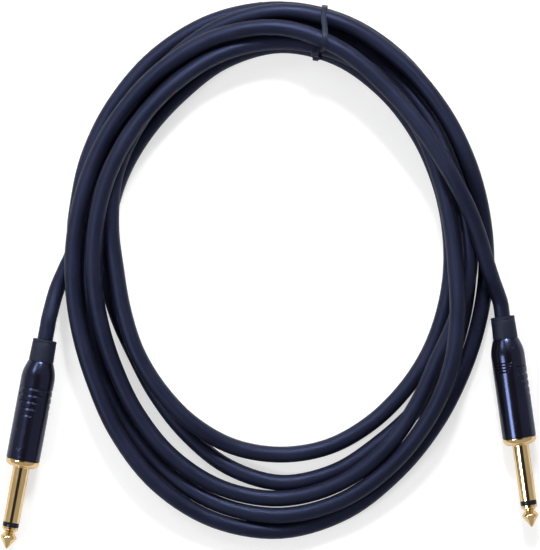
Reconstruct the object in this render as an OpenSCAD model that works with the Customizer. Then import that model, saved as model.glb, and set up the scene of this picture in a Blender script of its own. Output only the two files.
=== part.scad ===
// Instrument cable: a coiled mono lead with a straight 6.35 mm jack plug on each end.
// Millimetres, +Z up, lying on the surface z = 0. The origin is under the middle of the lead.

/* [Plug contacts] */
// Diameter of the contact finger, the standard jack size
finger_d = 6.35; // [6.2:0.01:6.5]
// Length of the plain sleeve between the collar and the insulating ring
sleeve_l = 21.7; // [18:0.1:24]
// Length of the flared collar
collar_l = 2.7; // [2:0.1:4]
// Length of the insulating ring
ring_l = 1.75; // [1:0.05:2.5]
// Length of the tip, from the insulating ring to its point
tip_l = 8.6; // [7.5:0.1:10]
// Diameter of the tip's waist
neck_d = 3.7; // [3:0.1:4.5]
// Wall of the hollow sleeve
sleeve_wall = 1.1; // [0.8:0.1:1.4]
// Diameter of the rod that carries the tip
rod_d = 2.2; // [1.6:0.1:2.4]

/* [Plug shell] */
// Outside diameter of the shell
shell_d = 13; // [12:0.1:15]
// Outside diameter of the shell at the boot
shell_rear_d = 9.7; // [9:0.1:10.5]
// Length of the shell's rounded rear
dome_l = 10; // [7:0.5:13]
// Whole length of the shell
shell_l = 38.5; // [34:0.5:46]
// Wall of the shell
shell_wall = 1.1; // [0.8:0.1:1.3]
// Length of the screw thread at the shell's front
thread_l = 5; // [4:0.5:5.5]
// Number of grip grooves in each of the two grip patches
grip_rows = 6; // [3:1:7]
// Distance from one grip groove to the next
grip_pitch = 2.2; // [1.8:0.1:2.6]
// Arc of the widest grip groove, in degrees
grip_arc = 150; // [120:5:160]
// How much shorter each groove's arc is than the one before, in degrees
grip_taper = 24; // [16:1:28]
// Depth of a grip groove
grip_depth = 0.3; // [0.2:0.05:0.4]

/* [Boot] */
// Diameter of the boot at its cable end
boot_d = 9.5; // [8.5:0.1:10.5]
// Length of the boot that shows
boot_l = 8.6; // [6:0.1:12]
// How far the boot and shell slide back when unscrewed
boot_travel = 4.5; // [3:0.5:5]

/* [Cable] */
// Diameter of the cable
cable_d = 6; // [5.8:0.1:6.2]
// Diameter of the insulated core
core_d = 2.6; // [2:0.1:3]
// Diameter of the stranded conductor
conductor_d = 1; // [0.7:0.1:1.3]

/* [Coil] */
// Half of the coil's width, at the middle of the outermost lane
coil_half_w = 80; // [78:0.5:84]
// Half of the coil's length, at the middle of the outermost lane
coil_half_l = 100.4; // [99:0.1:104]
// Distance between the middles of neighbouring lanes
lane_pitch = 6.6; // [6.6:0.1:7]
// Distance between the middles of layers
layer_pitch = 6.5; // [6.5:0.1:7]

/* [Cable tie] */
// Width of the tie's strap
strap_w = 2.3; // [1.8:0.1:3]
// Thickness of the tie's strap
strap_t = 0.9; // [0.7:0.1:1.2]
// Length of the tie's head along the strap
head_l = 3; // [2.4:0.1:4]
// Height of the tie's head above the strap
head_h = 2.4; // [1.8:0.1:3]

/* [Hidden] */
$fn = 48;

// Colours
black_rubber = "#23262b";
black_metal = "#2b2d33";
black_plastic = "#1a1b1e";
gold = "#c9a95c";
copper = "#b87848";
clear_core = "#d8d4c8";
solder_grey = "#b4b6b8";
navy_jacket = "#2e3340";

// Running fits and seats
slide_gap = 0.1;
thread_gap = 0.08;
free_gap = 0.4;
seat_gap = 0.1;
wrap_gap = 0.3;

// The plug's own axis is +Z towards the tip, and 0 is the joint of boot and shell
cable_r = cable_d / 2;
shell_r = shell_d / 2;
bore_r = shell_r - shell_wall;
neck_r = shell_rear_d / 2 - shell_wall;
collar_z = shell_l + seat_gap;
sleeve_z = collar_z + collar_l;
ring_z = sleeve_z + sleeve_l;
tip_z = ring_z + ring_l;
sleeve_bore_r = finger_d / 2 - sleeve_wall;
spigot_r = bore_r - 0.4;
spigot_z = collar_z - thread_l - 2;
flange_l = 2;
flange_z = 2.2;
insulator_l = 1.6;
insulator_z = spigot_z - insulator_l;
lug_t = 0.6;
tip_lug_l = 6;
wire_l = 0.34 * shell_l;
strip_z = insulator_z - wire_l;
lug_z = strip_z - 1.7;
chuck_z = flange_z + flange_l + 0.8;
chuck_l = lug_z - 0.3 - chuck_z;
core_l = 0.35 * wire_l;
pigtail_d = 1.6;
pigtail_l = 5;
lug_y = spigot_r - lug_t - 0.1;
rod_rear = insulator_z - lug_t - 0.4;
jacket_rear = boot_l + boot_travel + 0.5;

// Where each plug lies: the joint of its boot and shell, the way its tip points, and how
// far its shell is turned
left_at = [-88.1, -32.2, shell_r];
left_heading = -100.5;
left_grip_turn = 180;
right_at = [91.2, -23.3, shell_r];
right_heading = -82;
right_grip_turn = 94;

// The coil
coil_at = [4.5, 3.3];
flat_cut = cable_d / 10;
rings_a_turn = 24;
coil_sides = 6;
stations_a_turn = 12;
coil_start = 0.5;
tie_angle = 80;
head_turn = 150;

// How the cable lies as it goes round, clockwise from the left side: one line for each half
// turn, with the lane (0 is outermost) and the layer (0 is on the table) every 30 degrees.
LAY = [
  [0.05, 0], [-0.2, 0], [-0.25, 0], [0, 0], [0.08, 0], [0.3, 0],
  [1.12, 0], [1.6, 0], [2.6, 0], [2.83, 0], [3.08, 0], [2.88, 0],
  [2.05, 0], [1.82, 0], [2.4, 0], [2.05, 0], [2.12, 0], [2.08, 0],
  [2.2, 0], [2.75, 0], [3.75, 0], [4.4, 0], [3.85, 0.9], [2.97, 1.05],
  [2.45, 1], [1.58, 1], [1.62, 0.8], [1.03, 0], [1.1, 0], [1.07, 0.85],
  [1.05, 1], [2.1, 1], [2.15, 1.1], [1.9, 0.38], [1.66, 0.6], [1.45, 0.9],
  [1.15, 1.6], [1.25, 2.2], [1.75, 1.8], [1.9, 1.05], [1.75, 1.1], [2, 1.2],
  [1.95, 1.7], [1.35, 2.3], [1.15, 1.05], [0.89, 0.5], [0.72, 0], [0.6, 0],
  [0.95, 0.3], [0.8, 0.35], [0.54, 0.7], [0.08, 1.1], [0.15, 1.05], [0.05, 1.2],
  [0.03, 0.2], [0.6, 0], [0.68, 0], [-0.02, 0], [-0.3, 0.6], [0.05, 0.95],
  [-0.05, 1.05], [0.12, 1.2], [0.6, 1.72], [1.15, 1.95], [2, 2.2], [1.4, 2.45],
  [0, 1.5], [-1.2, 0.2]
];

// A point of the list, held at its ends; the last one only steers the cable's end
function lay_at(i) = LAY[max(0, min(len(LAY) - 1, i))];

// A smooth curve through the list, at station s
function smooth_lay(s) =
  let (i = min(floor(s), len(LAY) - 3), f = s - i,
       a = lay_at(i - 1), b = lay_at(i), c = lay_at(i + 1), d = lay_at(i + 2))
  0.5 * (2 * b + (c - a) * f + (2 * a - 5 * b + 4 * c - d) * f * f
         + (3 * b - a - 3 * c + d) * f * f * f);

// The middle of the cable at station s of the coil
function coil_point(s) =
  let (angle = 180 - s * 360 / stations_a_turn,
       oval = 1 / sqrt(pow(cos(angle) / coil_half_w, 2) + pow(sin(angle) / coil_half_l, 2)),
       lay = smooth_lay(s),
       r = oval - lay[0] * lane_pitch,
       over_strap = (strap_t + 0.5) * pow(max(0, cos(angle - tie_angle)), 24))
  [coil_at[0] + r * cos(angle), coil_at[1] + r * sin(angle),
   cable_r - flat_cut + max(0, lay[1]) * layer_pitch + over_strap];

station_step = stations_a_turn / rings_a_turn;
coil_end = len(LAY) - 2;
coil_path = [for (s = [coil_start : station_step : coil_end]) coil_point(s)];

function unit(v) = v / norm(v);
function heading_of(angle) = [cos(angle), sin(angle), 0];
function jacket_rear_at(at, heading) = at - jacket_rear * heading_of(heading);

// The free stretches between the plugs and the coil
left_start = jacket_rear_at(left_at, left_heading);
right_start = jacket_rear_at(right_at, right_heading);
lead_straight = 0.7 * cable_d;
left_bend = [[-78.9, 3.2], [-75.5, 11.3]];
left_route = [
  left_start,
  left_start - lead_straight * heading_of(left_heading),
  for (p = left_bend) [p[0], p[1], coil_path[0][2]],
  coil_path[0] - 0.5 * lead_straight * unit(coil_path[1] - coil_path[0]),
  coil_path[0]
];
last = len(coil_path) - 1;
right_route = [
  coil_path[last],
  coil_path[last] + 0.5 * lead_straight * unit(coil_path[last] - coil_path[last - 1]),
  right_start - 0.5 * lead_straight * heading_of(right_heading),
  right_start
];

// Direction of a path at one of its points
function path_dir(p, i) =
  i == 0 ? unit(p[1] - p[0]) :
  i == len(p) - 1 ? unit(p[i] - p[i - 1]) :
  unit(unit(p[i + 1] - p[i]) + unit(p[i] - p[i - 1]));

// A ring of points across a path, its flat side down and cut at the flat
function ring_at(centre, dir, r, sides, cut) =
  let (side = unit(cross(dir, [0, 0, 1])), up = cross(side, dir))
  [for (k = [0 : sides - 1])
    let (a = (k + (sides == 6 ? 0 : 0.5)) * 360 / sides)
    centre + side * r * cos(a) + up * max(r * sin(a), cut - r)];

// A closed tube along a path
module tube(path, r, sides, cut) {
  rings = len(path);
  points = [for (i = [0 : rings - 1]) each ring_at(path[i], path_dir(path, i), r, sides, cut)];
  walls = [
    for (i = [0 : rings - 2], k = [0 : sides - 1])
      let (a = i * sides + k, b = i * sides + (k + 1) % sides)
      each [[a, a + sides, b], [b, a + sides, b + sides]]
  ];
  first_cap = [for (k = [1 : sides - 2]) [0, k, k + 1]];
  end_cap = [for (k = [1 : sides - 2]) [0, k + 1, k] + (rings - 1) * sides * [1, 1, 1]];
  polyhedron(points, concat(walls, first_cap, end_cap), convexity = 10);
}

// Least distance between the surfaces of different turns, measured on points along the tube
fine_path = [
  for (i = [0 : last - 1], f = [0 : 0.25 : 0.75]) coil_path[i] * (1 - f) + coil_path[i + 1] * f
];
half_turn_points = rings_a_turn * 2;
coil_gap = min([
  for (i = [0 : 1 : len(fine_path) - 1])
    for (j = [i + half_turn_points : 1 : len(fine_path) - 1])
      norm(fine_path[i] - fine_path[j])
]) - cable_d;
function path_length(p, i = 1) =
  i == len(p) ? 0 : norm(p[i] - p[i - 1]) + path_length(p, i + 1);
coil_length = path_length(coil_path);
echo(least_gap_between_turns = coil_gap, coil_length = coil_length);

module cable_coil() {
  color(navy_jacket) tube(coil_path, cable_r, coil_sides, flat_cut);
}

module lead(route) {
  color(navy_jacket) tube(route, cable_r, 8, flat_cut);
}

// Lays a plug that was drawn along +Z down on the table
module lay_plug(at, heading) {
  translate(at) rotate([0, 0, heading]) rotate([0, 90, 0]) children();
}

// The tip: a flange, a waist, a wide shoulder and a cone, on a rod that runs back to its lug
module tip_contact() {
  r = finger_d / 2;
  color(gold) translate([0, 0, tip_z]) rotate_extrude()
    polygon([
      [0, 0], [r - 0.15, 0], [r - 0.05, 0.9], [neck_d / 2 + 0.3, 1.5], [neck_d / 2, 2.1],
      [neck_d / 2 + 0.3, 2.7], [r - 0.3, 3.6], [r - 0.03, 4.1], [r - 0.35, 4.7],
      [0.45, tip_l - 0.25], [0, tip_l]
    ]);
  color(gold) translate([0, 0, rod_rear]) cylinder(h = tip_z - rod_rear + 0.01, d = rod_d);
}

// The ring that shows, and the tube inside the sleeve that keeps the rod apart
module tip_insulator() {
  color(black_plastic) difference() {
    union() {
      translate([0, 0, ring_z]) cylinder(h = ring_l, r = finger_d / 2 - 0.05);
      translate([0, 0, spigot_z]) cylinder(h = ring_z - spigot_z + 0.01, r = sleeve_bore_r);
    }
    translate([0, 0, spigot_z - 1]) cylinder(h = ring_z + ring_l - spigot_z + 2, d = rod_d);
  }
}

// Sleeve, flared collar and the threaded spigot that the shell screws onto
module sleeve_contact() {
  r = finger_d / 2;
  color(gold) difference() {
    union() {
      translate([0, 0, sleeve_z - 0.01]) cylinder(h = sleeve_l + 0.01, r = r);
      translate([0, 0, collar_z]) cylinder(h = 0.8, r = shell_r);
      translate([0, 0, collar_z + 0.8]) cylinder(h = collar_l - 0.8, r1 = shell_r - 0.3, r2 = r + 0.6);
      translate([0, 0, spigot_z]) cylinder(h = collar_z - spigot_z + 0.01, r = spigot_r);
      for (k = [0 : floor(thread_l) - 1])
        translate([0, 0, collar_z - thread_l + 0.3 + k])
          cylinder(h = 0.5, r = bore_r - thread_gap);
    }
    translate([0, 0, spigot_z - 1]) cylinder(h = ring_z - spigot_z + 2, r = sleeve_bore_r);
  }
}

// Washer behind the spigot
module rear_insulator() {
  color(black_plastic) translate([0, 0, insulator_z]) difference() {
    cylinder(h = insulator_l, r = lug_y - 0.2);
    translate([0, 0, -1]) cylinder(h = insulator_l + 2, d = rod_d);
  }
}

// Flat terminal on the rod's end, bent so that its tongue lies under the conductor
module tip_lug() {
  disc_r = rod_d / 2 + 1.5;
  tongue_y = -conductor_d / 2 - lug_t;
  step_z = rod_rear - 0.1 - lug_t;
  color(gold) {
    difference() {
      translate([0, 0, insulator_z - lug_t]) cylinder(h = lug_t, r = disc_r);
      translate([0, 0, insulator_z - lug_t - 1]) cylinder(h = lug_t + 2, d = rod_d);
    }
    translate([-1.2, -disc_r, step_z]) cube([2.4, lug_t, insulator_z - step_z]);
    translate([-1.2, -disc_r, step_z]) cube([2.4, disc_r - conductor_d / 2, lug_t]);
    translate([-1.2, tongue_y, insulator_z - tip_lug_l])
      cube([2.4, lug_t, step_z - insulator_z + tip_lug_l + 0.01]);
  }
}

// Long terminal from the spigot to the cable, with the two ears that grip the jacket
module ground_lug() {
  color(gold) {
    translate([-1.6, lug_y, lug_z]) cube([3.2, lug_t, spigot_z - lug_z]);
    translate([0, 0, lug_z]) difference() {
      cylinder(h = 1.2, r = lug_y + 0.2);
      translate([0, 0, -1]) cylinder(h = 4, r = cable_r);
      translate([-shell_d, -2 * shell_d - 0.5, -1]) cube([2 * shell_d, 2 * shell_d, 4]);
    }
  }
}

// Collet that squeezes the jacket
module chuck() {
  chuck_r = bore_r - free_gap;
  color(black_plastic) translate([0, 0, chuck_z]) difference() {
    union() {
      cylinder(h = 2, r = cable_r + 1);
      translate([0, 0, 1.99]) cylinder(h = chuck_l - 1.99, r = min(chuck_r, cable_r + 1.8));
    }
    translate([0, 0, -1]) cylinder(h = chuck_l + 2, r = cable_r);
    for (a = [0 : 60 : 120])
      rotate([0, 0, a]) translate([-10, -0.35, -1]) cube([20, 0.7, chuck_l - 2]);
  }
}

// One grip groove: an arc cut into the shell, half on each side of the given direction
module grip_cut(z, arc, turn) {
  translate([0, 0, z]) rotate([0, 0, turn - arc / 2])
    rotate_extrude(angle = arc) translate([shell_r - grip_depth, 0]) square([1, 0.9]);
}

// Turned shell with a rounded rear, a plain bore and the thread at its front
module shell(turn) {
  steps = 8;
  outline = [
    for (k = [0 : steps])
      let (a = 90 * k / steps)
      [shell_rear_d / 2 + (shell_r - shell_rear_d / 2) * sin(a), dome_l * (1 - cos(a))]
  ];
  color(black_metal) difference() {
    rotate_extrude() polygon(concat([[0, 0]], outline, [[shell_r, shell_l], [0, shell_l]]));
    translate([0, 0, -1]) cylinder(h = 4, r = neck_r + slide_gap);
    translate([0, 0, flange_z - 0.15])
      cylinder(h = dome_l - flange_z + 0.15, r1 = shell_rear_d / 2 - 0.55, r2 = bore_r);
    translate([0, 0, dome_l - 0.01]) cylinder(h = shell_l, r = bore_r);
    for (k = [0 : grip_rows - 1])
      for (face = [0, 180])
        grip_cut(dome_l + k * grip_pitch, grip_arc - k * grip_taper, turn + face);
  }
}

// Rubber boot: the part that shows, a neck through the shell and a flange inside it
module boot() {
  color(black_rubber) difference() {
    union() {
      translate([0, 0, -boot_l + 0.6]) cylinder(h = boot_l - 0.7, d1 = boot_d, d2 = shell_rear_d - 0.1);
      translate([0, 0, -boot_l]) cylinder(h = 0.61, d1 = boot_d - 1, d2 = boot_d);
      translate([0, 0, -0.11]) cylinder(h = flange_z + flange_l + 0.1, r = neck_r);
      translate([0, 0, flange_z]) cylinder(h = flange_l, r = neck_r + 0.45);
    }
    translate([0, 0, -boot_l - 1]) cylinder(h = boot_l + 10, r = cable_r + slide_gap);
  }
}

// The straight end of the cable's jacket, gripped by the chuck
module jacket_end() {
  color(navy_jacket) translate([0, 0, -jacket_rear]) cylinder(h = jacket_rear + strip_z, d = cable_d);
}

module core_insulation() {
  color(clear_core) translate([0, 0, strip_z]) cylinder(h = core_l, d = core_d);
}

// Bare conductor from the insulation to the tip's lug
module center_conductor() {
  color(copper) translate([0, 0, strip_z + core_l])
    cylinder(h = insulator_z - 3 - strip_z - core_l, d = conductor_d);
}

// The twisted screen, lying along the ground lug
module shield_pigtail() {
  color(copper) translate([0, lug_y - pigtail_d / 2 - 0.1, strip_z]) cylinder(h = pigtail_l, d = pigtail_d);
}

// One solder joint at each lug, round the wire that it holds
module solder() {
  joint_z = insulator_z - 3 - 2.2;
  color(solder_grey) {
    translate([0, lug_y - pigtail_d / 2 - 0.1, strip_z + pigtail_l])
      cylinder(h = 1.8, r1 = pigtail_d / 2 + 0.1, r2 = 0.4);
    translate([0, 0, joint_z]) difference() {
      cylinder(h = 2, d = conductor_d + 0.8);
      translate([0, 0, -1]) cylinder(h = 4, d = conductor_d);
      translate([-5, seat_gap - conductor_d / 2 - 10, -1]) cube([10, 10, 4]);
    }
  }
}

// Where each turn of the cable crosses the tie's plane: distance from the coil's middle, height
tie_ring = (180 - tie_angle) * rings_a_turn / 360 - coil_start / station_step;
tie_turns = floor((last - tie_ring) / rings_a_turn);
turns_at_tie = [
  for (n = [0 : tie_turns])
    let (ring = tie_ring + n * rings_a_turn, i = floor(ring), f = ring - i,
         p = coil_path[i] * (1 - f) + coil_path[i + 1] * f)
    [norm([p[0] - coil_at[0], p[1] - coil_at[1]]), p[2]]
];

// The outline round the turns at the tie, grown by a margin and cut level above the table
module bundle_outline(margin, floor_z) {
  intersection() {
    hull() for (p = turns_at_tie) translate(p) circle(cable_r + margin, $fn = 32);
    translate([0, floor_z]) square(coil_half_l * 2);
  }
}

// One moulded tie: the strap round the bundle, and its head with the clipped tail, which lie
// against the highest turn on the coil's inner side
module cable_tie() {
  head_w = strap_w + 0.8;
  seat = cable_r + wrap_gap;
  color(black_plastic) translate([coil_at[0], coil_at[1], 0]) rotate([0, 0, tie_angle])
    rotate([90, 0, 0]) {
      translate([0, 0, -strap_w / 2]) linear_extrude(strap_w) difference() {
        bundle_outline(wrap_gap + strap_t, 0);
        bundle_outline(wrap_gap, strap_t);
      }
      translate(turns_at_tie[tie_turns]) rotate([0, 0, head_turn]) {
        translate([seat, -head_l / 2, -head_w / 2]) cube([strap_t + head_h, head_l, head_w]);
        translate([seat + strap_t + head_h / 3, 0, -strap_w / 2])
          cube([strap_t, head_l, strap_w]);
      }
    }
}

cable_coil();
lead(left_route);  // left_lead
lead(right_route);  // right_lead
cable_tie();
lay_plug(left_at, left_heading) tip_contact();  // left_tip_contact
lay_plug(left_at, left_heading) tip_insulator();  // left_tip_insulator
lay_plug(left_at, left_heading) sleeve_contact();  // left_sleeve_contact
lay_plug(left_at, left_heading) rear_insulator();  // left_rear_insulator
lay_plug(left_at, left_heading) tip_lug();  // left_tip_lug
lay_plug(left_at, left_heading) ground_lug();  // left_ground_lug
lay_plug(left_at, left_heading) chuck();  // left_chuck
lay_plug(left_at, left_heading) shell(left_grip_turn);  // left_shell
lay_plug(left_at, left_heading) boot();  // left_boot
lay_plug(left_at, left_heading) jacket_end();  // left_jacket_end
lay_plug(left_at, left_heading) shield_pigtail();  // left_shield_pigtail
lay_plug(left_at, left_heading) core_insulation();  // left_core_insulation
lay_plug(left_at, left_heading) center_conductor();  // left_center_conductor
lay_plug(left_at, left_heading) solder();  // left_solder
lay_plug(right_at, right_heading) tip_contact();  // right_tip_contact
lay_plug(right_at, right_heading) tip_insulator();  // right_tip_insulator
lay_plug(right_at, right_heading) sleeve_contact();  // right_sleeve_contact
lay_plug(right_at, right_heading) rear_insulator();  // right_rear_insulator
lay_plug(right_at, right_heading) tip_lug();  // right_tip_lug
lay_plug(right_at, right_heading) ground_lug();  // right_ground_lug
lay_plug(right_at, right_heading) chuck();  // right_chuck
lay_plug(right_at, right_heading) shell(right_grip_turn);  // right_shell
lay_plug(right_at, right_heading) boot();  // right_boot
lay_plug(right_at, right_heading) jacket_end();  // right_jacket_end
lay_plug(right_at, right_heading) shield_pigtail();  // right_shield_pigtail
lay_plug(right_at, right_heading) core_insulation();  // right_core_insulation
lay_plug(right_at, right_heading) center_conductor();  // right_center_conductor
lay_plug(right_at, right_heading) solder();  // right_solder
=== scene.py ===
import math
import bpy
from mathutils import Matrix, Vector


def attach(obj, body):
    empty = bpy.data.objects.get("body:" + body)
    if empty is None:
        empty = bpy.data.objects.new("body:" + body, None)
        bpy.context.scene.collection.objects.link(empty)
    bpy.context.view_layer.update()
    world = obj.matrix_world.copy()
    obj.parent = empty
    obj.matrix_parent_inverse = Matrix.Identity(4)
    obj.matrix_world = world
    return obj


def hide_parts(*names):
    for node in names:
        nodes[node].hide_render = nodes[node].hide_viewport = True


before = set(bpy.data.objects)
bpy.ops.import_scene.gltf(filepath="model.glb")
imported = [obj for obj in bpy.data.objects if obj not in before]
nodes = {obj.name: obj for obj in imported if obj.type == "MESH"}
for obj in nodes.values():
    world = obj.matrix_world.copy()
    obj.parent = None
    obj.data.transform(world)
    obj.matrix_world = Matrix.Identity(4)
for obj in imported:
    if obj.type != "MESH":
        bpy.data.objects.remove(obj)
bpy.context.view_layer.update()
mm = 0.001
up = Vector((0, 0, 1))
scene = bpy.context.scene
scene.view_settings.view_transform = "Standard"


# helpers for modelling

def clearSelection():
    if bpy.context.mode != "OBJECT":
        bpy.ops.object.mode_set(mode="OBJECT")
    bpy.ops.object.select_all(action="DESELECT")


def useOnly(piece):
    clearSelection()
    piece.select_set(True)
    bpy.context.view_layer.objects.active = piece


def takeNew(name):
    piece = bpy.context.object
    piece.name = name
    piece.data.name = name
    return piece


def settle(piece):
    useOnly(piece)
    bpy.ops.object.transform_apply(location=True, rotation=True, scale=True)


def softEdges(piece, degrees):
    useOnly(piece)
    bpy.ops.object.shade_smooth_by_angle(angle=math.radians(degrees))


def editAll(piece):
    useOnly(piece)
    bpy.ops.object.mode_set(mode="EDIT")
    bpy.ops.mesh.select_all(action="SELECT")


def cleanUp(piece):
    editAll(piece)
    bpy.ops.mesh.remove_doubles(threshold=0.01 * mm)
    bpy.ops.mesh.normals_make_consistent(inside=False)
    bpy.ops.object.mode_set(mode="OBJECT")


def pick(piece, kind, wanted):
    useOnly(piece)
    bpy.ops.object.mode_set(mode="EDIT")
    bpy.ops.mesh.select_all(action="DESELECT")
    bpy.ops.object.mode_set(mode="OBJECT")
    for part in getattr(piece.data, kind):
        part.select = wanted(part)
    bpy.ops.object.mode_set(mode="EDIT")


# camera, straight above

camera = {
    "middle": (0.3 * mm, 1.3 * mm),
    "frameLong": 212.3 * mm,  # what the long side of the view takes in
    "focusHeight": 6.5 * mm,  # the height at which it does
    "lens": 250,
    "sensor": 36,
    "clip": (0.05, 20),
}

cameraData = bpy.data.cameras.new("camera")
cameraData.lens = camera["lens"]
cameraData.sensor_width = camera["sensor"]
cameraData.clip_start, cameraData.clip_end = camera["clip"]
cameraHeight = camera["lens"] / camera["sensor"] * camera["frameLong"] + camera["focusHeight"]
cameraObject = bpy.data.objects.new("camera", cameraData)
cameraObject.location = (*camera["middle"], cameraHeight)
scene.collection.objects.link(cameraObject)
scene.camera = cameraObject
print("camera", round(cameraHeight, 3))


# cable route: where the two plugs are, the free stretch of cable at each, and the turns between

plugs = {
    "left": {
        "at": (-88.1 * mm, -32.2 * mm, 6.5 * mm), "heading": -100.5,
        "straight": (-16.9, -8, 0, 8.6, 13.6, 17.6),  # mm behind the shell's rear, on its axis
        "loose": [(-82.2, -4.5, 3.5), (-78.7, 3.7, 3.17), (-75.6, 11.3, 3.17)],
    },
    "right": {
        "at": (91.2 * mm, -23.3 * mm, 6.5 * mm), "heading": -82,
        "straight": (13.6, 8.6, 0, -8, -16.9),
        "loose": [(86.4, -1.9, 9.7), (88.1, -6.2, 7.6)],
    },
}

cable = {
    "radius": 3.13 * mm,
    "endRadius": 3 * mm,  # in the plugs and just behind them
    "thinFor": 4,  # points of each lead that keep the end radius
    "growsOver": 5,  # points after them over which the cable widens
    "middle": (4.5 * mm, 3.3 * mm),
    "halfWidth": 80 * mm,
    "halfLength": 100.4 * mm,
    "lane": 6.6 * mm,
    "layer": 6.38 * mm,
    "floorGap": 0.02 * mm,
    "station": 30,  # degrees from one entry of the lay to the next
    "startStation": 0.5,
    "steps": 7,
    "sides": 24,
    "tieAngle": 80,  # where the turns rise over the tie's lower run
    "overTieLift": 1.25 * mm,
    "overTieSharpness": 24,
}

# lane and layer at each station, clockwise from the left side, a half turn on each line
lay = [
    (0.05, 0), (-0.34, 0), (-0.3, 0), (-0.05, 0), (0.07, 0), (0.5, 0),
    (1.09, 0), (1.47, 0), (2.57, 0), (2.73, 0), (3.16, 0), (2.83, 0),
    (1.86, 0), (1.85, 0), (2.37, 0), (2.05, 0), (2.12, 0), (2.06, 0),
    (2.15, 0), (2.76, 0), (3.8, 0), (4.38, 0), (3.86, 0.9), (3.02, 1.05),
    (2.5, 1), (1.58, 1), (1.54, 0.8), (1.0, 0), (1.07, 0.12), (1.12, 0.88),
    (1.12, 1), (2.18, 1), (2.12, 1.1), (1.83, 0.38), (1.58, 0.6), (1.47, 0.9),
    (1.2, 1.6), (1.25, 2.2), (1.75, 1.8), (1.9, 1.05), (1.76, 1.15), (2, 1.25),
    (1.95, 1.7), (1.35, 2.3), (1.15, 1.05), (0.84, 0.5), (0.64, 0), (0.6, 0),
    (0.84, 0.5), (0.79, 0.35), (0.56, 0.7), (0.14, 1.1), (0.22, 1.05), (0.11, 1.2),
    (0.09, 0.08), (0.48, 0), (0.57, 0), (-0.09, 0), (-0.25, 0.6), (0.05, 0.95),
    (-0.05, 1.05), (0.12, 1.2), (0.62, 1.72), (1.15, 1.95), (2, 2.2), (1.4, 2.43),
    (0, 1.38), (-1.2, 0.2),
]


def curveThrough(a, b, c, d, f):
    return 0.5 * (2 * b + (c - a) * f + (2 * a - 5 * b + 4 * c - d) * f ** 2
                  + (3 * b - a - 3 * c + d) * f ** 3)


def coilPoint(s):
    i = min(int(s), len(lay) - 3)
    near = [lay[max(0, min(len(lay) - 1, k))] for k in (i - 1, i, i + 1, i + 2)]
    lane, layer = (curveThrough(*[n[k] for n in near], s - i) for k in (0, 1))
    angle = math.radians(180 - s * cable["station"])
    oval = 1 / math.hypot(math.cos(angle) / cable["halfWidth"],
                          math.sin(angle) / cable["halfLength"])
    r = oval - lane * cable["lane"]
    nearTie = max(0, math.cos(angle - math.radians(cable["tieAngle"]))) ** cable["overTieSharpness"]
    lowest = cable["radius"] + cable["floorGap"]
    return Vector((cable["middle"][0] + r * math.cos(angle),
                   cable["middle"][1] + r * math.sin(angle),
                   lowest + max(0, layer) * cable["layer"] + cable["overTieLift"] * nearTie))


def headingOf(plug):
    angle = math.radians(plug["heading"])
    return Vector((math.cos(angle), math.sin(angle), 0))


def behind(plug, distance):
    return Vector(plug["at"]) - distance * headingOf(plug)


def leadParts(plug):
    straight = [behind(plug, d * mm) for d in plug["straight"]]
    return straight, [Vector([c * mm for c in point]) for point in plug["loose"]]


def smoothThrough(points, steps):
    out = []
    for i in range(len(points) - 1):
        a, b = points[max(0, i - 1)], points[i]
        c, d = points[i + 1], points[min(len(points) - 1, i + 2)]
        out += [curveThrough(a, b, c, d, k / steps) for k in range(steps)]
    lowest = cable["radius"] + cable["floorGap"]
    return [Vector((p.x, p.y, max(p.z, lowest))) for p in out + [points[-1]]]


coilEnd = len(lay) - 2
halfStations = int((coilEnd - cable["startStation"]) * 2) + 1
coilPoints = [coilPoint(cable["startStation"] + k / 2) for k in range(halfStations)]
leftStraight, leftLoose = leadParts(plugs["left"])
rightStraight, rightLoose = leadParts(plugs["right"])
route = smoothThrough(leftStraight + leftLoose + coilPoints + rightLoose + rightStraight,
                      cable["steps"])


def makeCable():
    clearSelection()
    line = bpy.data.curves.new("cable", "CURVE")
    line.dimensions = "3D"
    spline = line.splines.new("POLY")
    spline.points.add(len(route) - 1)
    thin = cable["endRadius"] / cable["radius"]
    for k, (point, place) in enumerate(zip(spline.points, route)):
        fromEnd = min(k, len(route) - 1 - k)
        grown = max(0, fromEnd - cable["thinFor"] * cable["steps"]) / (cable["growsOver"] * cable["steps"])
        point.co = (*place, 1)
        point.radius = thin + (1 - thin) * min(1, grown)
    spline.use_smooth = True
    line.bevel_depth = cable["radius"]
    line.bevel_resolution = cable["sides"] // 4 - 1
    line.use_fill_caps = True
    line.twist_mode = "MINIMUM"
    piece = bpy.data.objects.new("cable", line)
    scene.collection.objects.link(piece)
    useOnly(piece)
    bpy.ops.object.convert(target="MESH")
    return takeNew("cable")


cablePiece = makeCable()
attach(cablePiece, "lead")
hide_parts("cable_coil", "left_lead", "right_lead", "left_jacket_end", "right_jacket_end")
tuple(behind(plugs["left"], 8.6 * mm))
print("cable", len(cablePiece.data.polygons), "faces")


# cable tie: a strap round the turns, its head and the clipped tail

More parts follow.
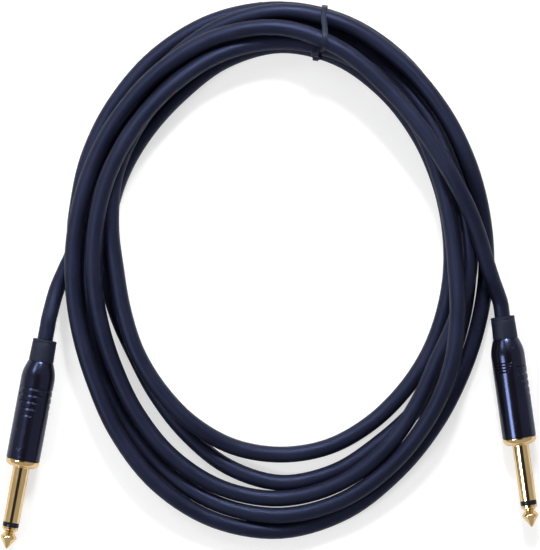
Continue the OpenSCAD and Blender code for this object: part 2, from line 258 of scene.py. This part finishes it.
tie = {
    "thickness": 0.9 * mm,
    "width": 2.3 * mm,
    "slack": 0.12 * mm,
    "points": 96,
    "outlineStep": 6,  # degrees between the dots round each turn of cable
    "topRunAt": 21.3 * mm,  # the strap's upper run lies along +Y at this x
    "lowRunAside": 0.95 * mm,
    "crossing": 5.2 * mm,  # height over which the strap swings from the lower line to the upper
    "headAt": 14 * mm,  # height of the head, on the inner side
    "innerReach": 8 * mm,
    "headSpin": 32,
    "headLength": 3 * mm,
    "headWidth": 3.1 * mm,
    "headHeight": 2.4 * mm,
    "headSeat": 0.6,  # share of the strap's thickness that is under the head
    "slot": 0.35 * mm,
    "slotLip": 0.12 * mm,
    "slotDepth": 0.5 * mm,
    "tailShare": 0.55,  # the tail's length, as a share of the head's
    "tailAhead": 0.7,  # how far along the strap the tail sits, in head lengths
    "tailOut": 0.45,  # how far out of the strap, in head heights
    "strapEdge": (0.18 * mm, 2),
    "headEdge": (0.22 * mm, 3),
    "tailEdge": (0.15 * mm, 2),
    "smooth": 40,
}

tieTurn = math.radians(cable["tieAngle"])
acrossTie = Vector((math.cos(tieTurn), math.sin(tieTurn), 0))
alongTie = Vector((-acrossTie.y, acrossTie.x, 0))
tieMiddle = Vector((*cable["middle"], 0))


def turnsAtTie():
    first = (180 - cable["tieAngle"]) / cable["station"]
    oneTurn = 360 // cable["station"]
    turns = [coilPoint(first + oneTurn * n) for n in range(int((coilEnd - first) / oneTurn) + 1)]
    return [((p - tieMiddle).dot(acrossTie), p.z) for p in turns]


def outlineRound(middles, grow):
    dots = sorted({(x + grow * math.cos(math.radians(a)), z + grow * math.sin(math.radians(a)))
                   for x, z in middles for a in range(0, 360, tie["outlineStep"])})
    halves = []
    for run in (dots, dots[::-1]):
        half = []
        for dot in run:
            while len(half) > 1 and ((half[-1][0] - half[-2][0]) * (dot[1] - half[-2][1])
                                     - (half[-1][1] - half[-2][1]) * (dot[0] - half[-2][0])) <= 0:
                half.pop()
            half.append(dot)
        halves += half[:-1]
    return halves


def spacedOut(outline, count):
    closed = outline + outline[:1]
    lengths = [math.dist(a, b) for a, b in zip(closed, closed[1:])]
    step, out, k, walked = sum(lengths) / count, [], 0, 0.0
    for n in range(count):
        while walked + lengths[k] < n * step:
            walked += lengths[k]
            k += 1
        f = (n * step - walked) / lengths[k]
        out.append([closed[k][i] * (1 - f) + closed[k + 1][i] * f for i in (0, 1)])
    return out


def aside(x, z):
    f = min(1, max(0, (z - tie["headAt"]) / tie["crossing"]))
    f = f * f * (3 - 2 * f)
    topRun = (tieMiddle.x + x * acrossTie.x - tie["topRunAt"]) / -alongTie.x
    return f * topRun + (1 - f) * tie["lowRunAside"]


tieRing = spacedOut(outlineRound(turnsAtTie(), cable["radius"] + tie["slack"]), tie["points"])


def finishTiePiece(piece, edge):
    bevel = piece.modifiers.new("edges", "BEVEL")
    bevel.width, bevel.segments = edge
    bevel.limit_method = "ANGLE"
    useOnly(piece)
    for modifier in list(piece.modifiers):
        bpy.ops.object.modifier_apply(modifier=modifier.name)
    softEdges(piece, tie["smooth"])
    return piece


def newBlock(name, size):
    clearSelection()
    bpy.ops.mesh.primitive_cube_add(size=1)
    piece = takeNew(name)
    piece.scale = size
    settle(piece)
    return piece


def makeStrap():
    clearSelection()
    bpy.ops.mesh.primitive_circle_add(vertices=tie["points"], radius=10 * mm, fill_type="NOTHING")
    piece = takeNew("tie_strap")
    for vertex, (x, z) in zip(piece.data.vertices, tieRing):
        vertex.co = tieMiddle + x * acrossTie + (aside(x, z) - tie["width"] / 2) * alongTie
        vertex.co.z = z
    editAll(piece)
    bpy.ops.mesh.extrude_region_move(TRANSFORM_OT_translate={"value": tuple(tie["width"] * alongTie)})
    bpy.ops.mesh.select_all(action="SELECT")
    bpy.ops.mesh.normals_make_consistent(inside=False)
    bpy.ops.object.mode_set(mode="OBJECT")
    wall = piece.modifiers.new("wall", "SOLIDIFY")
    wall.thickness, wall.offset = tie["thickness"], 1
    return finishTiePiece(piece, tie["strapEdge"])


def makeHead():
    piece = newBlock("tie_head", (tie["headHeight"], tie["headLength"], tie["headWidth"]))
    pick(piece, "polygons", lambda face: abs(face.normal.y) > 0.9)
    bpy.ops.mesh.inset(thickness=tie["slot"], use_individual=True)
    bpy.ops.mesh.inset(thickness=tie["slotLip"], depth=-tie["slotDepth"], use_individual=True)
    bpy.ops.object.mode_set(mode="OBJECT")
    return finishTiePiece(piece, tie["headEdge"])


def makeTail():
    piece = newBlock("tie_tail", (tie["thickness"], tie["headLength"] * tie["tailShare"], tie["width"]))
    editAll(piece)
    bpy.ops.mesh.subdivide(number_cuts=2)
    bpy.ops.object.mode_set(mode="OBJECT")
    return finishTiePiece(piece, tie["tailEdge"])


def seatOnTie(piece, out, ahead):
    inner = [k for k, (x, z) in enumerate(tieRing) if x < tieRing[0][0] + tie["innerReach"]]
    k = min(inner, key=lambda n: abs(tieRing[n][1] - tie["headAt"]))
    (x0, z0), (x, z), (x1, z1) = tieRing[k - 2], tieRing[k], tieRing[(k + 2) % tie["points"]]
    run = Vector((x1 - x0, z1 - z0)).normalized()
    outwards = run.y * acrossTie - run.x * up
    onwards = run.x * acrossTie + run.y * up
    place = tieMiddle + x * acrossTie + z * up + aside(x, z) * alongTie + out * outwards
    spin = Matrix.Rotation(math.radians(tie["headSpin"]), 3, "X")
    axes = Matrix((outwards, onwards, outwards.cross(onwards))).transposed() @ spin
    piece.matrix_world = Matrix.Translation(place) @ axes.to_4x4()
    piece.location += axes @ Vector((0, ahead, 0))
    settle(piece)


strapPiece, headPiece, tailPiece = makeStrap(), makeHead(), makeTail()
seatOnTie(headPiece, tie["thickness"] * tie["headSeat"] + tie["headHeight"] / 2, 0)
seatOnTie(tailPiece, tie["thickness"] + tie["headHeight"] * tie["tailOut"],
          tie["headLength"] * tie["tailAhead"])
for piece in (strapPiece, headPiece, tailPiece):
    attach(piece, "lead")
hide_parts("cable_tie")
print("cable tie", [[round(c / mm, 2) for c in turn] for turn in turnsAtTie()])


# plugs, turned on their own axis and then laid down
# an outline is a list of (distance from the shell's rear, radius) in mm

def turned(name, outline, sides, closed=True):
    clearSelection()
    z, r = outline[0]
    bpy.ops.mesh.primitive_circle_add(vertices=sides, radius=r * mm, location=(0, 0, z * mm),
                                      fill_type="NOTHING" if closed else "NGON")
    piece = takeNew(name)
    settle(piece)
    editAll(piece)
    for (z0, r0), (z1, r1) in zip(outline, outline[1:]):
        bpy.ops.mesh.extrude_region_move(TRANSFORM_OT_translate={"value": (0, 0, (z1 - z0) * mm)})
        if r1 != r0:
            bpy.ops.transform.resize(value=(r1 / r0, r1 / r0, 1), center_override=(0, 0, z1 * mm))
    bpy.ops.object.mode_set(mode="OBJECT")
    cleanUp(piece)
    return piece


def arc(z, r, dz, dr, start, stop, count):
    angles = [math.radians(start + (stop - start) * k / count) for k in range(count + 1)]
    return [(z + dz * math.sin(a), r + dr * math.cos(a)) for a in angles]


def copyOf(piece, name):
    useOnly(piece)
    bpy.ops.object.duplicate()
    return takeNew(name)


def layDown(piece, plug):
    heading = math.radians(plug["heading"])
    piece.matrix_world = (Matrix.Translation(plug["at"]) @ Matrix.Rotation(heading, 4, "Z")
                          @ Matrix.Rotation(math.pi / 2, 4, "Y"))
    settle(piece)


shell = {
    "rear": 4.85, "r": 6.5, "length": 38.5, "mouth": 3.85,
    "rearEdge": (0.08, 0.1),
    "ramp": 6.5, "rampSteps": 13,
    "bore": 5.4, "boreFrom": 10,
    "lip": 2.05, "lipBore": 4.3,
    "chamfer": 0.3,
    "grooveDepth": 0.32, "grooveFoot": 0.24,  # the foot is nearer to the groove's rear side
    "sides": 120, "smooth": 14,
}

# grip patches: where each faces, from the top towards the right, then its first groove, rows,
# pitch, groove width, widest arc and taper
grips = {
    "left": [(-14, 10.2, 5, 2.6, 1.1, 118, 20),
             (106, 10.2, 5, 2.6, 1.1, 110, 20),
             (-134, 10.2, 5, 2.6, 1.1, 110, 20)],
    "right": [(74, 10.9, 5, 2.6, 1.1, 112, 18),
              (-28, 8.9, 4, 1.15, 0.6, 62, 4),
              (-150, 10.9, 5, 2.6, 1.1, 112, 18)],
}


def grooves(side):
    out = []
    for facing, first, rows, pitch, width, widest, taper in grips[side]:
        for k in range(rows):
            low = first + k * pitch
            out.append((low, low + shell["grooveFoot"] * width, low + width,
                        (180 - facing) % 360, (widest - k * taper) / 2))
    return out


def atGrooveFoot(point, foot, facing, half):
    off = (math.degrees(math.atan2(point.co.y, point.co.x)) - facing + 180) % 360 - 180
    onSkin = math.hypot(point.co.x, point.co.y) > (shell["r"] - shell["chamfer"]) * mm
    return abs(point.co.z - foot * mm) < 0.01 * mm and onSkin and abs(off) < half


def makeShell(side):
    edgeLong, edgeDeep = shell["rearEdge"]
    outline = [(0, shell["mouth"]), (0, shell["rear"] - edgeDeep), (edgeLong, shell["rear"])]
    for k in range(1, shell["rampSteps"] + 1):
        share = k / shell["rampSteps"]
        rise = math.sin(math.pi / 2 * share)
        outline.append((shell["ramp"] * share, shell["rear"] + (shell["r"] - shell["rear"]) * rise))
    outline += [(z, shell["r"]) for z in sorted({round(z, 3) for g in grooves(side) for z in g[:3]})]
    outline += [(shell["length"] - shell["chamfer"], shell["r"]),
                (shell["length"], shell["r"] - shell["chamfer"]),
                (shell["length"], shell["bore"]), (shell["boreFrom"], shell["bore"]),
                (shell["lip"], shell["lipBore"]), (shell["lip"], shell["mouth"]), (0, shell["mouth"])]
    piece = turned(side + "_shell_dressed", outline, shell["sides"])
    deeper = 1 - shell["grooveDepth"] / shell["r"]
    for low, foot, high, facing, half in grooves(side):
        pick(piece, "vertices", lambda point: atGrooveFoot(point, foot, facing, half))
        bpy.ops.transform.resize(value=(deeper, deeper, 1), center_override=(0, 0, foot * mm))
        bpy.ops.object.mode_set(mode="OBJECT")
    softEdges(piece, shell["smooth"])
    return piece


boot = {
    "rear": 4.65, "front": 4.8, "length": 8.6, "hole": 3.22, "lip": 0.45, "lipSteps": 5,
    "band": [(0.95, 0), (1.15, -0.12), (1.35, -0.02), (3.5, 0.02)],  # from the rear, off its radius
    "frontEdge": [(-0.25, 0), (-0.06, -0.12)],  # off the front radius
    "seam": -0.06, "neck": 3.75, "neckEnd": 2.2,
    "flange": 4.2, "flangeFrom": 2.3, "flangeEnd": 4.2, "flangeEdge": 0.1,
    "sides": 72, "smooth": 30,
}


def makeBoot():
    outline = [(-boot["length"], boot["hole"])]
    outline += arc(-boot["length"] + boot["lip"], boot["rear"] - boot["lip"], -boot["lip"], boot["lip"],
                   90, 0, boot["lipSteps"])
    outline += [(-boot["length"] + dz, boot["rear"] + dr) for dz, dr in boot["band"]]
    outline += [(z, boot["front"] + dr) for z, dr in boot["frontEdge"]]
    outline += [(boot["seam"], boot["neck"]), (boot["neckEnd"], boot["neck"]),
                (boot["flangeFrom"], boot["flange"]),
                (boot["flangeEnd"] - boot["flangeEdge"], boot["flange"]),
                (boot["flangeEnd"], boot["flange"] - boot["flangeEdge"]),
                (boot["flangeEnd"], boot["hole"]), (-boot["length"], boot["hole"])]
    piece = turned("boot", outline, boot["sides"])
    softEdges(piece, boot["smooth"])
    return piece


sleeve = {
    "r": 3.175, "bore": 2.085, "rear": 31.6, "start": 41.3, "end": 63.0, "endEdge": 0.12,
    "spigot": 5.0, "spigotEdge": 0.2,
    "thread": 5.3, "threadPitch": 0.75, "threadLength": 5, "threadEnd": 0.3,
    "crest": (0.3, 0.42),  # from the foot of a ridge to its crest, and to the crest's end
    "collar": 38.6, "collarR": 6.5, "collarEdge": 0.1, "collarWidth": 0.45,
    "hollow": (0.5, 2.1, 2.7), "hollowArc": (4, 76, 10),  # the curve from the collar down to the throat
    "throat": 3.75, "throatEnd": 2.65,
    "shoulder": [(-0.05, 0.175), (0.15, 0)],  # from the start, off the sleeve's radius
    "sides": 72, "smooth": 28,
}


def makeSleeve():
    outline = [(sleeve["rear"], sleeve["bore"]), (sleeve["rear"], sleeve["spigot"] - sleeve["spigotEdge"]),
               (sleeve["rear"] + sleeve["spigotEdge"], sleeve["spigot"])]
    z = sleeve["collar"] - sleeve["threadLength"]
    while z + sleeve["threadPitch"] < sleeve["collar"] - sleeve["threadEnd"]:
        outline += [(z, sleeve["spigot"])] + [(z + dz, sleeve["thread"]) for dz in sleeve["crest"]]
        z += sleeve["threadPitch"]
    outline += [(z, sleeve["spigot"]), (sleeve["collar"], sleeve["spigot"]),
                (sleeve["collar"], sleeve["collarR"] - sleeve["collarEdge"]),
                (sleeve["collar"] + sleeve["collarEdge"], sleeve["collarR"]),
                (sleeve["collar"] + sleeve["collarWidth"], sleeve["collarR"])]
    hollowAt, hollowLong, hollowDeep = sleeve["hollow"]
    outline += arc(sleeve["collar"] + hollowAt, sleeve["throat"], hollowLong, hollowDeep,
                   *sleeve["hollowArc"])
    outline.append((sleeve["collar"] + sleeve["throatEnd"], sleeve["throat"]))
    outline += [(sleeve["start"] + dz, sleeve["r"] + dr) for dz, dr in sleeve["shoulder"]]
    outline += [(sleeve["end"] - sleeve["endEdge"], sleeve["r"]),
                (sleeve["end"], sleeve["r"] - sleeve["endEdge"]),
                (sleeve["end"], sleeve["bore"]), (sleeve["rear"], sleeve["bore"])]
    piece = turned("sleeve_contact", outline, sleeve["sides"])
    softEdges(piece, sleeve["smooth"])
    return piece


ring = {
    "rod": 1.1, "tube": 2.07, "rear": 31.6, "start": 63.0, "end": 64.75, "r": 3.1,
    "gap": 0.01, "edge": 0.1, "bulge": 0.06, "bulgeInset": 0.06, "bulgeSteps": 6,
    "sides": 72, "smooth": 30,
}


def makeRing():
    start, end = ring["start"] + ring["gap"], ring["end"] - ring["gap"]
    outline = [(ring["rear"], ring["rod"]), (ring["rear"], ring["tube"]), (start, ring["tube"]),
               (start, ring["r"] - ring["edge"])]
    for k in range(ring["bulgeSteps"] + 1):
        share = k / ring["bulgeSteps"]
        along = ring["bulgeInset"] + (1 - 2 * ring["bulgeInset"]) * share
        outline.append((start + (end - start) * along,
                        ring["r"] + ring["bulge"] * math.sin(math.pi * share)))
    outline += [(end, ring["r"] - ring["edge"]), (end, ring["rod"]), (ring["rear"], ring["rod"])]
    piece = turned("tip_ring", outline, ring["sides"])
    softEdges(piece, ring["smooth"])
    return piece


# places after the rod's are measured from the tip's start
tip = {
    "rod": 1.1, "rodRear": 29.0, "rodEnd": 0.2, "start": 64.75,
    "flange": 3.12, "flangeEdge": [(0, -0.08), (0.08, 0), (0.85, 0), (0.98, -0.12)],
    "waist": 1.85, "waistAt": 2.1, "waistRun": 1.05, "waistDrop": 1.1, "waistAngles": (10, 30, 50, 70, 90),
    "ball": [(2.4, 1.9), (2.65, 2.13), (3.3, 2.72), (3.55, 2.96), (3.85, 3.12), (4.15, 3.17),
             (4.45, 3.1), (4.75, 2.92), (5.1, 2.66)],
    "nose": [(6.2, 1.88), (7.5, 1), (8.05, 0.66), (8.35, 0.42), (8.53, 0.2), (8.6, 0.05)],
    "sides": 72, "smooth": 30,
}


def makeTip():
    z = tip["start"]
    outline = [(tip["rodRear"], tip["rodEnd"]), (tip["rodRear"], tip["rod"]), (z, tip["rod"])]
    outline += [(z + dz, tip["flange"] + dr) for dz, dr in tip["flangeEdge"]]
    for degrees in tip["waistAngles"]:
        toGo = 1 - math.sin(math.radians(degrees))
        outline.append((z + tip["waistAt"] - tip["waistRun"] * toGo,
                        tip["waist"] + tip["waistDrop"] * toGo))
    outline += [(z + dz, r) for dz, r in tip["ball"] + tip["nose"]]
    piece = turned("tip_contact", outline, tip["sides"], closed=False)
    useOnly(piece)
    bpy.ops.object.mode_set(mode="EDIT")
    bpy.ops.mesh.select_all(action="DESELECT")
    bpy.ops.mesh.select_non_manifold()
    bpy.ops.mesh.edge_face_add()
    bpy.ops.object.mode_set(mode="OBJECT")
    cleanUp(piece)
    softEdges(piece, tip["smooth"])
    return piece


made = {"boot": makeBoot(), "sleeve_contact": makeSleeve(), "tip_ring": makeRing(),
        "tip_contact": makeTip()}
standsFor = {"tip_ring": "tip_insulator"}
plugPieces = {}
for name, first in made.items():
    plugPieces["right", name] = copyOf(first, "right_" + name + "_dressed")
    plugPieces["left", name] = first
    first.name = first.data.name = "left_" + name + "_dressed"
for side in plugs:
    plugPieces[side, "shell"] = makeShell(side)
for (side, name), piece in plugPieces.items():
    layDown(piece, plugs[side])
    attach(piece, side + "_" + name if name in ("shell", "boot") else "lead")
    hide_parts(side + "_" + standsFor.get(name, name))
print("plug pieces", sum(len(piece.data.polygons) for piece in plugPieces.values()), "faces")


# shader maths

class Wire:
    def __init__(self, paint, socket):
        self.paint, self.socket = paint, socket

    def __add__(self, other):
        return self.paint.maths("ADD", self, other)

    def __mul__(self, other):
        return self.paint.maths("MULTIPLY", self, other)

    __radd__ = __add__
    __rmul__ = __mul__


class Paint:
    def __init__(self, owner, shader="Principled BSDF", coordinates="Object"):
        owner.use_nodes = True
        self.owner, self.tree = owner, owner.node_tree
        self.shader = self.tree.nodes[shader]
        self.place = self.node("TexCoord", out=coordinates)

    def node(self, kind, settings={}, out=0, **sockets):
        new = self.tree.nodes.new("ShaderNode" + kind)
        for name, value in settings.items():
            if name == "stops":
                for stop, (position, colour) in zip(new.color_ramp.elements, value):
                    stop.position, stop.color = position, colour
            else:
                setattr(new, name, value)
        for name, value in sockets.items():
            key = int(name[1:]) if name[1:].isdigit() else name.replace("_", " ")
            self.feed(new.inputs[key], value)
        return Wire(self, new.outputs[out])

    def feed(self, socket, value):
        if isinstance(value, Wire):
            self.tree.links.new(value.socket, socket)
        else:
            socket.default_value = value

    def maths(self, operation, a, b):
        return self.node("Math", {"operation": operation}, i0=a, i1=b)

    def noise(self, scale, detail, stretch=None):
        place = self.place
        if stretch:
            place = self.node("VectorMath", {"operation": "MULTIPLY"}, i0=place, i1=stretch)
        return self.node("TexNoise", Vector=place, Scale=scale, Detail=detail)

    def steps(self, value, low, high):
        return self.node("MapRange", {"clamp": True}, Value=value, From_Min=low, From_Max=high)

    def mixed(self, factor, a, b):
        a, b = ((*c, 1) if isinstance(c, tuple) else c for c in (a, b))
        return self.node("Mix", {"data_type": "RGBA"}, out=2, i0=factor, i6=a, i7=b)

    def bumped(self, height, strength, distance):
        return self.node("Bump", Height=height, Strength=strength, Distance=distance)

    def set(self, **sockets):
        for name, value in sockets.items():
            self.feed(self.shader.inputs[name.replace("_", " ")], value)
        return self.owner


def newPaint(name):
    return Paint(bpy.data.materials.new(name))


# finishes: a noise is given as its scale and detail, with the range that counts where it has one,
# and a bump as its strength and distance

def cableJacket():
    look = {"dark": (0.0038, 0.0034, 0.009), "pale": (0.0085, 0.0085, 0.019),
            "dust": (0.05, 0.058, 0.085), "dustAmount": 0.25, "gloss": 0.5, "tint": (0.38, 0.5, 1, 1),
            "rough": 0.48, "patch": (55, 4), "patchRange": (0.35, 0.7), "grain": (2600, 2),
            "specks": (900, 5), "specksRange": (0.62, 0.78), "bump": (0.12, 0.0001)}
    paint = newPaint("cable jacket")
    patch = paint.steps(paint.noise(*look["patch"]), *look["patchRange"])
    grain = paint.noise(*look["grain"])
    dust = paint.steps(paint.noise(*look["specks"]), *look["specksRange"])
    colour = paint.mixed(patch, look["dark"], look["pale"])
    colour = paint.mixed(dust * look["dustAmount"], colour, look["dust"])
    paint.set(Specular_IOR_Level=look["gloss"], Specular_Tint=look["tint"])
    return paint.set(Base_Color=colour, Roughness=look["rough"] + patch * 0.08 + dust * 0.1,
                     Normal=paint.bumped(grain, *look["bump"]))


def bootRubber():
    look = {"dark": (0.006, 0.006, 0.015), "pale": (0.011, 0.012, 0.026), "gloss": 0.38,
            "tint": (0.6, 0.75, 1, 1), "rough": 0.5, "patch": (120, 4), "grain": (3200, 2),
            "bump": (0.2, 0.00012)}
    paint = newPaint("boot rubber")
    patch = paint.noise(*look["patch"])
    grain = paint.noise(*look["grain"])
    paint.set(Specular_IOR_Level=look["gloss"], Specular_Tint=look["tint"])
    return paint.set(Base_Color=paint.mixed(patch, look["dark"], look["pale"]),
                     Roughness=look["rough"] + patch * 0.16, Normal=paint.bumped(grain, *look["bump"]))


def shellBlack():
    look = {"dark": (0.004, 0.0032, 0.0055), "pale": (0.0075, 0.006, 0.010),
            "rub": (0.05, 0.052, 0.066), "rubAmount": 0.3, "gloss": 0.7, "tint": (0.36, 0.48, 1, 1),
            "rough": 0.17, "patch": (90, 4), "scratch": (5200, 3, (1, 0.25, 1)),
            "wear": (420, 6), "wearRange": (0.63, 0.75), "bump": (0.04, 0.00004)}
    paint = newPaint("shell black")
    patch = paint.noise(*look["patch"])
    fine = paint.noise(*look["scratch"])
    rub = paint.steps(paint.noise(*look["wear"]), *look["wearRange"])
    colour = paint.mixed(patch, look["dark"], look["pale"])
    colour = paint.mixed(rub * look["rubAmount"], colour, look["rub"])
    paint.set(Specular_IOR_Level=look["gloss"], Specular_Tint=look["tint"])
    return paint.set(Base_Color=colour, Roughness=look["rough"] + patch * 0.06 + rub * 0.1,
                     Normal=paint.bumped(fine, *look["bump"]))


def goldPlate():
    look = {"deep": (0.95, 0.60, 0.25), "pale": (1.0, 0.81, 0.47), "rough": 0.1, "patch": (160, 3),
            "lines": (5200, 2, (0.12, 1, 0.12)), "smear": (520, 4), "smearRange": (0.55, 0.75),
            "bump": (0.04, 0.00004)}
    paint = newPaint("gold plate")
    patch = paint.noise(*look["patch"])
    lines = paint.noise(*look["lines"])
    smear = paint.steps(paint.noise(*look["smear"]), *look["smearRange"])
    return paint.set(Base_Color=paint.mixed(patch, look["deep"], look["pale"]), Metallic=1.0,
                     Roughness=look["rough"] + smear * 0.08, Normal=paint.bumped(lines, *look["bump"]))


def plainPlastic(name, dark, pale, rough, grain):
    look = {"gloss": 0.3, "tint": (0.6, 0.74, 1, 1), "patch": (260, 3), "bump": (0.08, 0.00006)}
    paint = newPaint(name)
    patch = paint.noise(*look["patch"])
    fine = paint.noise(grain, 2)
    paint.set(Specular_IOR_Level=look["gloss"], Specular_Tint=look["tint"])
    return paint.set(Base_Color=paint.mixed(patch, dark, pale), Roughness=rough + patch * 0.1,
                     Normal=paint.bumped(fine, *look["bump"]))


def wireMetal(name, dark, pale, rough):
    look = {"patch": (700, 4), "strands": (3800, 2, (1, 0.15, 1)), "bump": (0.3, 0.0001)}
    paint = newPaint(name)
    patch = paint.noise(*look["patch"])
    strands = paint.noise(*look["strands"])
    return paint.set(Base_Color=paint.mixed(patch, dark, pale), Metallic=1.0,
                     Roughness=rough + patch * 0.15, Normal=paint.bumped(strands, *look["bump"]))


jacketPaint = cableJacket()
bootPaint = bootRubber()
shellPaint = shellBlack()
goldPaint = goldPlate()
ringPaint = plainPlastic("ring plastic", (0.008, 0.008, 0.009), (0.014, 0.014, 0.016), 0.18, 2400)
innerPaint = plainPlastic("collet plastic", (0.03, 0.03, 0.034), (0.05, 0.05, 0.055), 0.45, 2400)
corePaint = plainPlastic("core insulation", (0.62, 0.60, 0.52), (0.78, 0.77, 0.70), 0.4, 1800)
tiePaint = plainPlastic("tie nylon", (0.007, 0.008, 0.018), (0.012, 0.014, 0.028), 0.45, 2600)
copperPaint = wireMetal("copper strands", (0.62, 0.28, 0.14), (0.85, 0.48, 0.30), 0.3)
solderPaint = wireMetal("solder", (0.45, 0.46, 0.47), (0.70, 0.71, 0.72), 0.35)
print("finishes ready")

nodePaints = {
    "jacket_end": jacketPaint,
    "boot": bootPaint,
    "shell": shellPaint,
    "tip_contact": goldPaint,
    "sleeve_contact": goldPaint,
    "tip_insulator": ringPaint,
    "rear_insulator": innerPaint,
    "tip_lug": goldPaint,
    "ground_lug": goldPaint,
    "chuck": innerPaint,
    "shield_pigtail": copperPaint,
    "core_insulation": corePaint,
    "center_conductor": copperPaint,
    "solder": solderPaint,
    "tie": tiePaint,
}


def dress(piece, material):
    piece.data.materials.clear()
    piece.data.materials.append(material)


dress(cablePiece, jacketPaint)
for piece in (strapPiece, headPiece, tailPiece):
    dress(piece, tiePaint)
for (side, name), piece in plugPieces.items():
    dress(piece, nodePaints[standsFor.get(name, name)])
for name, node in nodes.items():
    plain = name.split("_", 1)[1] if name.startswith(("left_", "right_", "cable_")) else name
    if plain in nodePaints:
        for place in node.material_slots:
            place.material = nodePaints[plain]


# floor and light

studio = {
    "floor": 3.0, "floorDrop": 0.2 * mm, "glow": 0.6, "matt": 0.48,
    "bounce": 0.7,  # the floor's grey where only light meets it, not the camera
    "sky": 0.38, "overhead": (0.07, 0.065, 0.07), "overheadFrom": 0.90, "fade": 0.06,
}
lamps = {
    "side": {"place": (-1.36, -0.4, 1.63), "aim": (0.094, -0.045, 0),
             "size": (0.22, 0.7), "power": 14, "spread": 180},
    "back": {"place": (0.0, 0.95, 0.78), "aim": (0, 0, 0),
             "size": (1.0, 0.25), "power": 4.5, "spread": 180},
    "spot": {"place": (0.05, 0.5, 0.45), "aim": (0, -0.03, 0),
             "size": (0.09, 0.08), "power": 0.45, "spread": 60},
    "backLeft": {"place": (-0.344, 0.309, 0.424), "aim": (-0.088, -0.03, 0),
                 "size": (0.2, 0.16), "power": 0.1, "spread": 60},
}


def makeFloor():
    clearSelection()
    bpy.ops.mesh.primitive_plane_add(size=studio["floor"], location=(0, 0, -studio["floorDrop"]))
    floor = takeNew("floor")
    settle(floor)
    paint = newPaint("pale floor")
    seen = paint.node("LightPath", out="Is Camera Ray")
    glow = paint.node("Emission", Color=(1, 1, 1, 1), Strength=studio["glow"])
    matt = paint.node("BsdfDiffuse", Color=(*[studio["matt"]] * 3, 1))
    bounce = paint.node("BsdfDiffuse", Color=(*[studio["bounce"]] * 3, 1))
    both = paint.node("AddShader", i0=glow, i1=matt)
    mixed = paint.node("MixShader", i0=seen, i1=bounce, i2=both)
    paint.feed(paint.tree.nodes["Material Output"].inputs["Surface"], mixed)
    dress(floor, paint.owner)


def makeLamp(name, lamp):
    data = bpy.data.lights.new(name, "AREA")
    data.shape, (data.size, data.size_y) = "RECTANGLE", lamp["size"]
    data.energy = lamp["power"]
    data.spread = math.radians(lamp["spread"])
    lampObject = bpy.data.objects.new(name, data)
    lampObject.location = lamp["place"]
    towards = Vector(lamp["aim"]) - Vector(lamp["place"])
    lampObject.rotation_euler = towards.to_track_quat("-Z", "Y").to_euler()
    scene.collection.objects.link(lampObject)


def makeSky():
    sky = Paint(bpy.data.worlds.new("sky"), "Background", "Generated")
    scene.world = sky.owner
    height = sky.node("SeparateXYZ", out="Z", i0=sky.place)
    stops = [(studio["overheadFrom"], (1, 1, 1, 1)),
             (studio["overheadFrom"] + studio["fade"], (*studio["overhead"], 1))]
    sky.set(Color=sky.node("ValToRGB", {"stops": stops}, i0=height), Strength=studio["sky"])


makeFloor()
for name, lamp in lamps.items():
    makeLamp(name, lamp)
makeSky()
print("floor and light ready")
